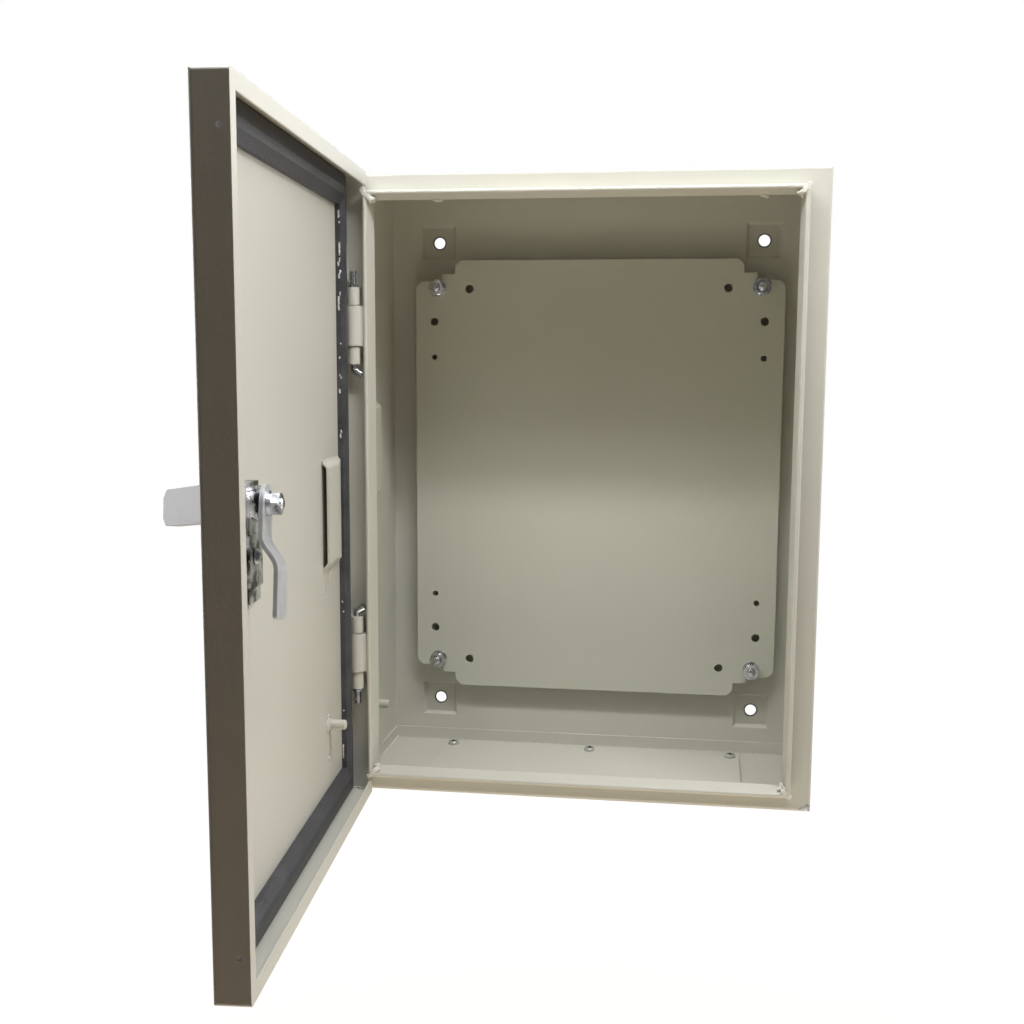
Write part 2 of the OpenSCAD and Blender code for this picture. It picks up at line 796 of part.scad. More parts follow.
module lock_housing() {
    color(zinc) on_lock() difference() {
        union() {
            translate([0, -sheet_t, 0]) rotate([90, 0, 0]) linear_extrude(height = plate_out_t)
                round_rect([-plate_half_w, -plate_down], [plate_half_w, plate_up], plate_corner);
            along_x(-case_half_w, case_half_w)
                polygon([[-sheet_t, case_up], [-sheet_t, -case_down], [0, -case_down],
                    [case_h, -case_down + case_slope], [case_h, case_up]]);
            bar_y(neck_r, 0, neck_h);
            translate([0, 0, button_z]) {
                bar_y(boss_r, boss_y, face_y);
                bar_y(plug_r, -sheet_t, 0);
            }
        }
        bar_y(spindle_r + turn_gap, face_y - cut, neck_h + cut);
        translate([0, 0, button_z]) {
            bar_y(button_r + turn_gap, boss_y - cut, boss_y + pocket_depth);
            bar_y(stem_r + turn_gap, boss_y, cut);
            bar_y(ring_r + ring_room, -ring_depth, cut);
        }
        translate([0, 0, lock_screw_z])
            bar_y(lock_screw_r + thread_gap, case_h - lock_screw_deep, case_h + cut);
    }
}

// saddle over the lock case whose two legs press on the inside of the panel
module lock_clamp() {
    slope = clamp_high * case_slope / case_h;
    color(zinc) on_lock() difference() {
        intersection() {
            translate([0, 0, clamp_end]) linear_extrude(height = clamp_top - clamp_end)
                round_rect([-clamp_half_w, -2 * clamp_t], [clamp_half_w, clamp_high], clamp_t);
            along_x(-clamp_half_w, clamp_half_w)
                polygon([[0, clamp_top], [0, clamp_end], [clamp_high, clamp_end + slope],
                    [clamp_high, clamp_top]]);
        }
        slab(clamp_half_w - clamp_t, -cut, case_h, clamp_end - cut, clamp_top + cut);
        translate([0, 0, lock_screw_z]) bar_y(lock_screw_r + thread_gap, 0, clamp_high + cut);
    }
}

module lock_screw() {
    color(zinc) on_lock() translate([0, 0, lock_screw_z]) {
        bar_y(lock_screw_r, case_h - lock_screw_deep, clamp_high);
        intersection() {
            bar_y(lock_head_r, clamp_high, clamp_high + lock_head_h);
            translate([0, clamp_high + lock_head_h - lock_dome_r, 0]) sphere(r = lock_dome_r);
        }
    }
}

module lock_spindle() {
    tip = cam_y + cam_t + cam_washer_t + cam_spring_t + cam_nut_h + cam_tip_out;
    fork = tongue_half + slide_gap;
    color(zinc) on_rotor() difference() {
        union() {
            bar_y(spindle_r, face_y - slide_gap - head_floor / 2, cam_y);
            tipped_bar(thread_r, 0, tip);
            bar_y(head_r, head_top_y, face_y - slide_gap);
        }
        slab(head_r + cut, head_top_y - cut, face_y - slide_gap - head_floor, -fork, fork);
        translate([0, pivot_y, 0]) cylinder(r = handle_pin_r + thread_gap, h = 3 * head_r, center = true);
    }
}

// cranked tongue hanging from the spindle, its tip one smooth step further into the box
module lock_cam() {
    rise = cam_tip_y - cam_y;
    near = [for (p = bend_near(rise, crank_run)) [cam_y + p[0], -crank_start - p[1]]];
    far = [for (p = bend_far(rise, crank_run, cam_t)) [cam_y + p[0], -crank_start - p[1]]];
    color(zinc) on_rotor() difference() {
        intersection() {
            along_x(-cam_w / 2, cam_w / 2)
                polygon(concat([[cam_y, cam_w]], near, [[cam_tip_y, -cam_reach]],
                    [[cam_tip_y + cam_t, -cam_reach]], far, [[cam_y + cam_t, cam_w]]));
            translate([0, cam_tip_y + 2 * cam_t, 0]) rotate([90, 0, 0])
                linear_extrude(height = cam_tip_y) cam_outline();
        }
        bar_y(thread_r + thread_gap, 0, cam_y + 2 * cam_t);
    }
}

// face of the cam: round about the spindle, small round corners at the tip
module cam_outline() {
    half = cam_w / 2;
    circle(r = half);
    round_rect([-half, -cam_reach], [half, -half], cam_corner);
    translate([-half, -cam_reach / 2]) square([cam_w, cam_reach / 2]);
}

module cam_washer() {
    y1 = cam_y + cam_t + cam_washer_t;
    color(zinc) on_rotor() stack_ring(washer_r, cam_washer_t, y1, thread_r + thread_gap, $fn);
}

module cam_spring_washer() {
    y1 = cam_y + cam_t + cam_washer_t + cam_spring_t;
    color(zinc) on_rotor() difference() {
        stack_ring(spring_r, cam_spring_t, y1, thread_r + thread_gap, $fn);
        block([-spring_slit / 2, 0, 0], [spring_slit / 2, y1 + cut, spring_r + cut]);
    }
}

module cam_nut() {
    y1 = cam_y + cam_t + cam_washer_t + cam_spring_t + cam_nut_h;
    color(zinc) on_rotor() nut(nut_af, cam_nut_h, y1, thread_r + thread_gap);
}

module handle_pin() {
    pin_len = 2 * (tongue_half + slide_gap + handle_pin_bite);
    color(zinc) on_rotor() translate([0, pivot_y, 0]) cylinder(r = handle_pin_r, h = pin_len, center = true);
}

module handle() {
    half = handle_w / 2;
    tip = half - handle_corner;
    nip = handle_len - handle_corner;
    color(zinc) on_rotor() translate([0, pivot_y, 0]) rotate([0, 0, handle_pop]) difference() {
        union() {
            cylinder(r = lever_half_t, h = 2 * tongue_half, center = true);
            block([-lever_start - cut, -lever_half_t, -tongue_half], [0, lever_half_t, tongue_half]);
            translate([0, lever_half_t, 0]) rotate([90, 0, 0]) linear_extrude(height = 2 * lever_half_t)
                polygon([[-lever_start, -half], [-lever_start, half], [-nip, half], [-handle_len, tip],
                    [-handle_len, -tip], [-nip, -half]]);
        }
        cylinder(r = handle_pin_r + turn_gap, h = 2 * tongue_half + cut, center = true);
    }
}

module release_button() {
    color(zinc) on_lock() translate([0, 0, button_z]) {
        bar_y(button_r, boss_y - button_out, boss_y + button_head_in);
        bar_y(stem_r, boss_y, -ring_depth + ring_gap + ring_t + stem_out);
    }
}

module button_clip() {
    y1 = -ring_depth + ring_gap + ring_t;
    color(zinc) on_lock() translate([0, 0, button_z])
        stack_ring(ring_r, ring_t, y1, stem_r + thread_gap, $fn);
}

shell();
floor_pan();
gland_gasket();
gland_plate();
gland_screws();
plate_studs();
plate_spacers();
mounting_plate();
plate_washers();
plate_spring_washers();
plate_nuts();
body_strap();
body_earth_stud();
hinge_upper_knuckle();
hinge_lower_knuckle();
hinge_upper_pin();
hinge_lower_pin();
hinge_clips();
door_pan();
door_gasket();
hinge_upper_leaf();
hinge_lower_leaf();
door_strap();
door_earth_stud();
lock_housing();
lock_clamp();
lock_screw();
lock_spindle();
lock_cam();
cam_washer();
cam_spring_washer();
cam_nut();
handle_pin();
handle();
release_button();
button_clip();
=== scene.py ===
import json
import math
import random

import bmesh
import bpy
from mathutils import Matrix, Vector


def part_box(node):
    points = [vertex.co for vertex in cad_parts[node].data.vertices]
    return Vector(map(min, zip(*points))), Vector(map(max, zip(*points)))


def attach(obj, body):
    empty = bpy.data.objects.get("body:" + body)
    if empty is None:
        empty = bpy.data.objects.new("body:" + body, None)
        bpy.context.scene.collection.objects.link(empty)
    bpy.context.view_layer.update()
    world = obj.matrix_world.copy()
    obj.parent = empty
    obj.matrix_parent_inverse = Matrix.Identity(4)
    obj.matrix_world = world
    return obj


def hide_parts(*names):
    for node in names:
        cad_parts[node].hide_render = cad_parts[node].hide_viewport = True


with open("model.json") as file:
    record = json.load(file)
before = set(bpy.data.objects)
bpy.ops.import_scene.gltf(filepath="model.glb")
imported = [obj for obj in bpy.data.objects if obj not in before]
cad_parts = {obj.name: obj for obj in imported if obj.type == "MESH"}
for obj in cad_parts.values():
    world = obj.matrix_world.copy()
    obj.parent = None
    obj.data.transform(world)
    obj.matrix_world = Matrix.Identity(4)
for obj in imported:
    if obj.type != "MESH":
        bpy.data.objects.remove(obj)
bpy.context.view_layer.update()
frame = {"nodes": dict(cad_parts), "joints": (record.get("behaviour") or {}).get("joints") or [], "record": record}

parts = frame["nodes"]
scene = bpy.context.scene

# The viewpoint: a camera a little to the right of the box's middle and above it,
# 0.8 m in front of the flange, so that the open door is seen along its inside.
tilt, roll, turn = 82.2059, -0.2717, 8.5894
viewpoint = bpy.data.cameras.new("viewpoint")
viewpoint.lens = 45.906
viewpoint.sensor_width = 36.0
viewpoint.shift_x = -0.0025
viewpoint.shift_y = 0.02915
viewpoint.clip_start = 0.01
camera = bpy.data.objects.new("viewpoint", viewpoint)
camera.location = (0.08218, -0.94366, 0.0823)
camera.rotation_euler = [math.radians(angle) for angle in (tilt, roll, turn)]
scene.collection.objects.link(camera)
scene.camera = camera


# Box body: a folded steel shell with a hemmed lip, a welded-in floor, a blank
# gland plate, a strap and an earth stud, sprayed with one pebble-grey powder and
# baked, which leaves orange peel, a soft gloss and a thinner film along edges;
# the lighter colour along every edge is partly that film, partly a painted highlight.
class Wire:
    """One socket of a finish's node tree; sums on wires become Math nodes."""

    def __init__(self, tree, socket=None):
        self.tree = tree
        self.socket = socket

    def node(self, kind, settings=None, sockets=None, out=0):
        made = self.tree.nodes.new(kind)
        for name, value in (settings or {}).items():
            setattr(made, name, value)
        for name, value in (sockets or {}).items():
            if isinstance(value, Wire):
                self.tree.links.new(value.socket, made.inputs[name])
            else:
                made.inputs[name].default_value = value
        return Wire(self.tree, made.outputs[out] if made.outputs else None)

    def math(self, operation, first, second=0.0):
        return self.node("ShaderNodeMath", {"operation": operation}, {0: first, 1: second})

    def __add__(self, other):
        return self.math("ADD", self, other)

    def __radd__(self, other):
        return self.math("ADD", other, self)

    def __sub__(self, other):
        return self.math("SUBTRACT", self, other)

    def __rsub__(self, other):
        return self.math("SUBTRACT", other, self)

    def __mul__(self, other):
        return self.math("MULTIPLY", self, other)

    def __rmul__(self, other):
        return self.math("MULTIPLY", other, self)

    def __abs__(self):
        return self.math("ABSOLUTE", self)

    def root(self):
        return self.math("SQRT", self)

    def clamped(self, low, high):
        return self.node("ShaderNodeMapRange", {"clamp": True}, {0: self, 1: low, 2: high})

    def noise(self, scale, detail=2.0, rough=0.5):
        where = self.node("ShaderNodeTexCoord", out="Object")
        return self.node("ShaderNodeTexNoise", None,
                         {"Vector": where, "Scale": scale, "Detail": detail, "Roughness": rough})

    def place(self):
        where = self.node("ShaderNodeTexCoord", out="Object")
        split = self.node("ShaderNodeSeparateXYZ", None, {0: where})
        return [Wire(self.tree, socket) for socket in split.socket.node.outputs]

    def blend(self, share, first, second):
        return self.node("ShaderNodeMix", {"data_type": "RGBA"},
                         {"Factor": share, 6: first, 7: second}, out=2)


def paint_chip(red, green, blue):
    """A colour read as 0-255 screen values, as the linear colour a shader wants."""
    return tuple(((v / 255 + 0.055) / 1.055) ** 2.4 for v in (red, green, blue)) + (1.0,)


def new_finish(name):
    finish = bpy.data.materials.new(name)
    finish.use_nodes = True
    finish.node_tree.nodes.clear()
    return finish, Wire(finish.node_tree)


def close_finish(wire, values):
    surface = wire.node("ShaderNodeBsdfPrincipled", None, values)
    wire.node("ShaderNodeOutputMaterial", None, {"Surface": surface})


def powder_coat(name, light, dark, gloss=0.4, peel=0.16, hole=None):
    finish, wire = new_finish(name)
    thin_film_highlight = paint_chip(226, 224, 216)
    cloud = wire.noise(scale=11.0, detail=3.0)
    grain = wire.noise(scale=1500.0)
    orange = wire.noise(scale=430.0, detail=1.0, rough=0.4)
    rounded = wire.node("ShaderNodeBevel", {"samples": 4}, {"Radius": 0.0007})
    facing = wire.node("ShaderNodeNewGeometry", out="Normal")
    agree = wire.node("ShaderNodeVectorMath", {"operation": "DOT_PRODUCT"},
                      {0: rounded, 1: facing}, out="Value")
    edge = (1.0 - agree).clamped(0.02, 0.28)
    film = wire.blend((cloud * 0.6 + grain * 0.4).clamped(0.3, 0.7), dark, light)
    # Every edge is lightened: partly a thinner film, partly a painted highlight.
    film = wire.blend(edge * 0.45, film, thin_film_highlight)
    # Painted shade: a dark ring is painted round each wall hole, standing for the shaded punched edge.
    if hole:
        across, _, up = wire.place()
        from_x = abs(across) - hole["across"]
        from_z = abs(up) - hole["up"]
        reach = (from_x * from_x + from_z * from_z).root()
        rim = 1.0 - reach.clamped(hole["radius"], hole["radius"] + hole["fade"])
        film = wire.blend(rim, film, hole["tone"])
    close_finish(wire, {
        "Base Color": film,
        "Roughness": gloss + cloud * 0.1 - 0.05 + grain * 0.06,
        "Normal": wire.node("ShaderNodeBump", None, {
            "Strength": peel, "Distance": 0.0004, "Height": orange * 0.75 + grain * 0.25, "Normal": rounded}),
        "IOR": 1.5,
    })
    return finish


def dress(finish, *names):
    for name in names:
        parts[name].data.materials.clear()
        parts[name].data.materials.append(finish)


wall_bolts = next(mount["dims"] for mount in frame["record"]["mounts"] if mount["name"] == "wall_holes")
# The dark ring round each wall hole is painted shade of the hole's edge.
painted_hole_shade = {
    "across": wall_bolts["spacing_x_mm"] / 2000,
    "up": wall_bolts["spacing_y_mm"] / 2000,
    "radius": wall_bolts["hole_r_mm"] / 1000 + 0.0005,
    "fade": 0.0007,
    "tone": paint_chip(52, 49, 42),
}
box_coat = powder_coat("box_powder_coat", paint_chip(207, 206, 195), paint_chip(202, 201, 190), hole=painted_hole_shade)
dress(box_coat, "shell", "floor_pan", "gland_plate", "body_strap", "body_earth_stud")

# Welds of the box: short lumpy beads close the mitred corners of the lip and
# run along the floor's seams, and two spot welds show under the top lip; the
# coat was sprayed over them and lies thicker there, and its lighter colour on
# them is partly a painted highlight.
dice = random.Random(7)


def new_piece(name, shape, body, finish):
    bmesh.ops.recalc_face_normals(shape, faces=shape.faces)
    for face in shape.faces:
        face.smooth = True
    mesh = bpy.data.meshes.new(name)
    shape.to_mesh(mesh)
    shape.free()
    mesh.materials.append(finish)
    piece = bpy.data.objects.new(name, mesh)
    scene.collection.objects.link(piece)
    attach(piece, body)
    return piece


def lay_bead(shape, start, end, radius, lumps):
    """A row of uneven lumps, whose drift and half axes are shares of the bead's radius."""
    start, end = Vector(start), Vector(end)
    for k in range(lumps):
        drift = Vector([dice.uniform(-0.3, 0.3) * radius for _ in range(3)])
        swell = Vector([dice.uniform(0.65, 1.2) * radius for _ in range(3)])
        bmesh.ops.create_icosphere(
            shape, subdivisions=2, radius=1.0,
            matrix=Matrix.LocRotScale(start.lerp(end, (k + 0.5) / lumps) + drift, None, swell))


def melt_together(piece, voxel):
    melt = piece.modifiers.new("melt", "REMESH")
    melt.mode = "VOXEL"
    melt.voxel_size = voxel
    melt.use_smooth_shade = True
    settle = piece.modifiers.new("settle", "SMOOTH")
    settle.factor = 0.5
    settle.iterations = 3


def to_tenth(value):
    """A place read off the CAD's mesh, to 0.1 mm, because its round pieces are polygons."""
    return round(value, 4)


shell_low, shell_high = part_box("shell")
half_width, half_height = to_tenth(shell_high.x), to_tenth(shell_high.z)
lip_front = to_tenth(shell_low.y)
flange_face = lip_front + 0.0114
back_face = to_tenth(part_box("plate_studs")[1].y)
lip_x, lip_z = half_width - 0.0134, half_height - 0.0117
hem = 0.0050
mitre = 0.0048
nose, throat = 0.0009, 0.0099
strand_front, strand_back = 0.0019, 0.0064
strand_down, strand_across = 0.0028, 0.0031


def at_lip(side, level, in_x, back, in_z):
    """A point in one corner of the lip, measured in and back from the lip's outer front edge."""
    return side * (lip_x - in_x), lip_front + back, level * (lip_z - in_z)


# Lighter than the box coat: partly a painted highlight on the weld lumps.
weld_coat_highlight = powder_coat("weld_coat_with_painted_highlight", paint_chip(232, 230, 222), paint_chip(212, 210, 201),
                        gloss=0.32, peel=0.3)
beads = bmesh.new()
for side in (-1, 1):
    for level in (-1, 1):
        outer = at_lip(side, level, 0.0, nose, 0.0)
        inner = at_lip(side, level, mitre, nose, mitre)
        deep = at_lip(side, level, hem, throat, hem)
        joined = at_lip(side, level, hem, strand_back, hem)
        low_strand = at_lip(side, level, hem, strand_front, hem + strand_down)
        side_strand = at_lip(side, level, hem + strand_across, strand_front, hem)
        lay_bead(beads, outer, inner, radius=0.0018, lumps=6)
        lay_bead(beads, inner, deep, radius=0.0019, lumps=8)
        lay_bead(beads, low_strand, joined, radius=0.0009, lumps=7)
        lay_bead(beads, side_strand, joined, radius=0.0009, lumps=7)
spot_places = (-0.0904, 0.1100)
spot_half, spot_y, spot_z = 0.0025, lip_front + 0.0125, lip_z - 0.0052
for across in spot_places:
    lay_bead(beads, (across - spot_half, spot_y, spot_z), (across + spot_half, spot_y, spot_z),
             radius=0.0013, lumps=5)
clear_of_seal = lip_front - 0.00028
for vert in beads.verts:
    vert.co.y = max(vert.co.y, clear_of_seal)
lip_welds = new_piece("lip_corner_welds", beads, "enclosure", weld_coat_highlight)
melt_together(lip_welds, voxel=0.0003)

seam_x, seam_z = half_width - 0.0026, 0.0014 - half_height
seam_back, seam_front = back_face - 0.0024, flange_face + 0.0025
rear_x, rear_y = half_width - 0.0030, back_face - 0.0014
seams = bmesh.new()
for side in (-1, 1):
    lay_bead(seams, (side * seam_x, seam_back, seam_z), (side * seam_x, seam_front, seam_z),
             radius=0.0012, lumps=70)
lay_bead(seams, (-rear_x, rear_y, seam_z), (rear_x, rear_y, seam_z), radius=0.0007, lumps=170)
floor_seams = new_piece("floor_seam_beads", seams, "enclosure", weld_coat_highlight)
melt_together(floor_seams, voxel=0.0005)


# Worn corner: the coat is knocked off the lower right corner of the flange,
# where the bare sheet shows as a small bright patch.
def plated_steel(name, bright, dull, gloss, ripple=0.0, body=1.0, mottle_and_reflection=(0.35, 0.68), patch=220.0,
                 inside=None):
    finish, wire = new_finish(name)
    cloud = wire.noise(scale=patch, detail=3.0)
    scuff = wire.noise(scale=2600.0, rough=0.6)
    wave = wire.noise(scale=0.8 * patch, detail=1.0)
    rounded = wire.node("ShaderNodeBevel", {"samples": 4}, {"Radius": 0.0003})
    # Noise patches of the dull colour: real mottling on plated parts, painted reflections on the chromes.
    share = (cloud * 0.7 + scuff * 0.3).clamped(*mottle_and_reflection)
    # The inside mask keeps the painted reflection patches to the door's inner side.
    if inside:
        inward, depth = inside
        across, deep, _ = wire.place()
        painted_reflection_side = (across * inward.x + deep * inward.y).clamped(depth, depth + 0.001)
        share = 1.0 - (1.0 - share) * painted_reflection_side
    close_finish(wire, {
        "Base Color": wire.blend(share, dull, bright),
        "Metallic": body,
        "Roughness": gloss + cloud * 0.16 - 0.08,
        "Normal": wire.node("ShaderNodeBump", None, {
            "Strength": 0.12 + ripple, "Distance": 0.0002 + ripple * 0.002,
            "Height": scuff * (1.0 - ripple) + wave * ripple, "Normal": rounded}),
    })
    return finish


bare_sheet = plated_steel("bare_sheet_steel", paint_chip(214, 214, 212), paint_chip(120, 118, 112),
                          gloss=0.35)
chip_y, chip_flat, chip_end = flange_face + 0.00002, 0.14, half_width - 0.0010
chip_rows = ((0.0012, 0.0064), (0.0025, 0.0050), (0.0038, 0.0028))
chip = bmesh.new()
for up, inset in chip_rows:
    chip_z = up - half_height
    lay_bead(chip, (half_width - inset, chip_y, chip_z), (chip_end, chip_y, chip_z), radius=0.0010, lumps=8)
bmesh.ops.scale(chip, vec=(1.0, chip_flat, 1.0), space=Matrix.Translation((0.0, -chip_y, 0.0)),
                verts=chip.verts)
new_piece("worn_corner", chip, "enclosure", bare_sheet)


# Gland opening: a flat black rubber frame under the blank plate, held down by
# six zinc-plated pan-head screws with a cross recess and a rolled thread; the
# recess faces are painted dark as painted shade.
def dull_rubber(name, tone, worn, gloss, dents):
    finish, wire = new_finish(name)
    cells = wire.noise(scale=900.0, detail=3.0, rough=0.6)
    streak = wire.noise(scale=60.0)
    close_finish(wire, {
        "Base Color": wire.blend((cells * 0.5 + streak * 0.5).clamped(0.35, 0.7), tone, worn),
        "Roughness": gloss + streak * 0.2 - 0.1,
        "Normal": wire.node("ShaderNodeBump", None, {"Strength": dents, "Distance": 0.0006, "Height": cells}),
    })
    return finish


gland_rubber = dull_rubber("gland_rubber", paint_chip(38, 38, 40), paint_chip(52, 52, 54),
                           gloss=0.7, dents=0.3)
dress(gland_rubber, "gland_gasket")


def grow_ring(shape, ring, foot, widen, rise):
    grown = bmesh.ops.extrude_edge_only(shape, edges=ring)["geom"]
    verts = [g for g in grown if isinstance(g, bmesh.types.BMVert)]
    bmesh.ops.scale(shape, vec=(widen, widen, 1.0), space=Matrix.Translation(-foot), verts=verts)
    bmesh.ops.translate(shape, vec=(0.0, 0.0, rise), verts=verts)
    return [g for g in grown if isinstance(g, bmesh.types.BMEdge)]


def pan_head(shape, foot, radius, height):
    """A domed head on its foot; the faces of its cross recess take the second material, a painted shade."""
    arm, half = radius * 0.66, radius * 0.22
    quarter = [Vector((arm, half)), Vector((half, half)), Vector((half, arm))]
    star = [Matrix.Rotation(math.radians(90 * q), 2) @ corner for q in range(4) for corner in quarter]
    rim = [shape.verts.new(foot + Vector((x, y, height))) for x, y in star]
    mouth = [shape.edges.new((rim[k - 1], rim[k])) for k in range(len(rim))]
    shoulder = Matrix.Translation(foot + Vector((0.0, 0.0, height * 0.93)))
    crown = bmesh.ops.create_circle(shape, segments=24, radius=radius * 0.8, matrix=shoulder)["verts"]
    ring = list({edge for vert in crown for edge in vert.link_edges})
    bmesh.ops.bridge_loops(shape, edges=mouth + ring)
    for widen, drop in ((1.17, 0.3), (1.068, 0.33), (1.0, 0.3)):
        ring = grow_ring(shape, ring, foot, widen, height * -drop)
    bmesh.ops.contextual_create(shape, geom=ring)
    skin = set(shape.faces)
    well = grow_ring(shape, mouth, foot, widen=0.7, rise=height * -0.75)
    bmesh.ops.contextual_create(shape, geom=well)
    for face in shape.faces:
        if face not in skin:
            face.material_index = 1


def rolled_thread(shape, seat, radius, length, pitch):
    known = set(shape.verts)
    root = radius * 0.84
    flanks = 2 * round(length / pitch)
    ridges = [(radius if k % 2 else root, length * k / flanks) for k in range(flanks + 1)]
    chain = [shape.verts.new((r, 0.0, h)) for r, h in [(0.0, 0.0)] + ridges + [(0.0, length)]]
    line = [shape.edges.new(pair) for pair in zip(chain, chain[1:])]
    bmesh.ops.spin(shape, geom=chain + line, cent=(0.0, 0.0, 0.0), axis=(0.0, 0.0, 1.0), angle=math.tau,
                   steps=18, use_merge=True)
    rod = [vert for vert in shape.verts if vert not in known]
    bmesh.ops.remove_doubles(shape, verts=rod, dist=1e-6)
    bmesh.ops.transform(shape, matrix=seat, verts=[vert for vert in shape.verts if vert not in known])


screw_low, screw_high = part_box("gland_screws")
head_radius, head_height = 0.0038, 0.0024
screw_x = to_tenth(screw_high.x - head_radius)
screw_rows = (to_tenth(screw_low.y + head_radius), to_tenth(screw_high.y - head_radius))
screw_tip, screw_seat = to_tenth(screw_low.z), to_tenth(screw_high.z - head_height)
screws = bmesh.new()
for across in (-screw_x, 0.0, screw_x):
    for depth in screw_rows:
        tip = Matrix.Translation((across, depth, screw_tip))
        rolled_thread(screws, tip, radius=0.0019, length=0.0045, pitch=0.0007)
        pan_head(screws, Vector((across, depth, screw_seat)), head_radius, head_height)
pale_zinc = plated_steel("dulled_zinc", paint_chip(214, 213, 208), paint_chip(180, 179, 174),
                         gloss=0.4, body=0.6)
# The dark colour of the screw recesses is painted shade, not dirt.
recess_shade = dull_rubber("painted_recess_shade", paint_chip(34, 32, 28), paint_chip(66, 63, 56), gloss=0.6, dents=0.2)
gland_heads = new_piece("gland_screw_heads", screws, "enclosure", pale_zinc)
gland_heads.data.materials.append(recess_shade)
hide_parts("gland_screws")

# Mounting plate: a flat steel plate with stepped corners in the same powder a
# shade greener, on spacers over four threaded studs welded to the back sheet,
# each held by a flat washer, a spring washer and a nut.
plate_coat = powder_coat("plate_powder_coat", paint_chip(207, 207, 193), paint_chip(202, 202, 188),
                         gloss=0.38)
zinc = plated_steel("zinc_plated_steel", paint_chip(232, 233, 235), paint_chip(186, 187, 189), gloss=0.24)
dress(plate_coat, "mounting_plate")
dress(zinc, "plate_spacers", "plate_washers", "plate_spring_washers", "plate_nuts")
stud_low, stud_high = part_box("plate_studs")
stud_radius, stud_length = 0.003, to_tenth(stud_high.y - stud_low.y)
stud_x, stud_z = to_tenth(stud_high.x - stud_radius), to_tenth(stud_high.z - stud_radius)
out = Matrix.Rotation(math.radians(90), 4, "X")
studs = bmesh.new()
for across in (-stud_x, stud_x):
    for level in (-stud_z, stud_z):
        foot = Matrix.Translation((across, back_face, level))
        rolled_thread(studs, foot @ out, stud_radius, stud_length, pitch=0.001)
plate_threads = new_piece("plate_stud_threads", studs, "enclosure", zinc)
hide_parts("plate_studs")

# Hinges and door: barrels sprayed with box and door turn on bent steel pins;
# the door pan is folded from one sheet with welded corners, a welded-on strap
# and earth stud, and the coat has run a little below strap and stud.
pins = plated_steel("hinge_pin_steel", paint_chip(206, 207, 210), paint_chip(140, 141, 145), gloss=0.26)
dress(pins, "hinge_upper_pin", "hinge_lower_pin", "hinge_clips")
door_coat = powder_coat("door_powder_coat", paint_chip(207, 206, 196), paint_chip(202, 201, 191))
dress(door_coat, "hinge_upper_knuckle", "hinge_lower_knuckle", "hinge_upper_leaf", "hinge_lower_leaf",
      "door_pan", "door_strap", "door_earth_stud")
swing = next(joint for joint in frame["joints"] if joint["name"] == "door_swing")
pin_line = Vector(swing["pos_m"])
opened = Matrix.Rotation(math.radians(-swing["range_deg"][1]), 4, "Z")
hang = Matrix.Translation(pin_line) @ opened @ Matrix.Translation(-pin_line)
panel_face = flange_face - 0.0172
fold_in = 0.0015
fold_front, fold_back = panel_face + 0.0007, flange_face - 0.0030
corners = bmesh.new()
for side in (-1, 1):
    for level in (-1, 1):
        fold_x, fold_z = side * (half_width - fold_in), level * (half_height - fold_in)
        lay_bead(corners, (fold_x, fold_front, fold_z), (fold_x, fold_back, fold_z), radius=0.0010, lumps=14)
bmesh.ops.transform(corners, matrix=hang, verts=corners.verts)
door_welds = new_piece("door_corner_welds", corners, "door", door_coat)
melt_together(door_welds, voxel=0.0003)

stud_foot = Vector((0.0600 - half_width, panel_face, 0.0612 - half_height))
collar_radius, collar_lumps = 0.0056, 26
collar = bmesh.new()
for k in range(collar_lumps):
    spoke = Matrix.Rotation(math.tau * k / collar_lumps, 3, "Y") @ Vector((collar_radius, 0.0, 0.0))
    lay_bead(collar, spoke + stud_foot, spoke + stud_foot, radius=0.0010, lumps=1)
bmesh.ops.transform(collar, matrix=hang, verts=collar.verts)
stud_weld = new_piece("door_stud_weld", collar, "door", door_coat)
melt_together(stud_weld, voxel=0.0003)

strap_runs = ((-0.0865, -0.043, -0.059), (-0.1000, -0.043, -0.050))
stud_run = (-0.0890, -0.145, -0.160)
drop_length, run_flat = 0.001, 0.7
runs = bmesh.new()
for across, top, low in (*strap_runs, stud_run):
    lay_bead(runs, (across, panel_face, top), (across, panel_face, low), radius=0.0007, lumps=16)
    lay_bead(runs, (across, panel_face, low), (across, panel_face, low - drop_length), radius=0.0010, lumps=3)
bmesh.ops.scale(runs, vec=(1.0, run_flat, 1.0), space=Matrix.Translation((0.0, -panel_face, 0.0)),
                verts=runs.verts)
bmesh.ops.transform(runs, matrix=hang, verts=runs.verts)
paint_runs = new_piece("paint_runs", runs, "door", door_coat)
melt_together(paint_runs, voxel=0.0002)

# Door seal: black polyurethane foamed in place as a band around the panel,
# with a skin that shines a little and small open cells; pale flecks along its
# inner side by the hinges are painted highlights, glints of the foam's skin.
foam = dull_rubber("foamed_seal", paint_chip(48, 48, 53), paint_chip(82, 82, 88), gloss=0.5, dents=0.5)
dress(foam, "door_gasket")
seal_side = -0.12845
long_fleck, lumps_per_mm = 2.0, 1.4
fleck_rows_mm = (
    (174.7, 170.2, 2.4), (168.2, 166.9, 2.8), (155.5, 147.6, 2.5), (146.0, 143.6, 2.6), (143.6, 141.2, 1.8),
    (138.6, 136.4, 2.9), (136.4, 133.3, 2.2), (125.4, 123.2, 2.6), (122.7, 114.3, 1.8), (94.0, 93.2, 2.8),
    (85.8, 84.6, 1.9), (75.0, 73.6, 1.9), (73.4, 72.0, 2.7), (65.7, 63.2, 1.8), (40.4, 38.4, 2.4),
    (38.0, 35.2, 1.8), (-68.7, -69.6, 1.6), (-75.0, -75.8, 2.2), (-140.0, -141.0, 1.5), (-163.0, -172.0, 0.9),
)
flecks = bmesh.new()
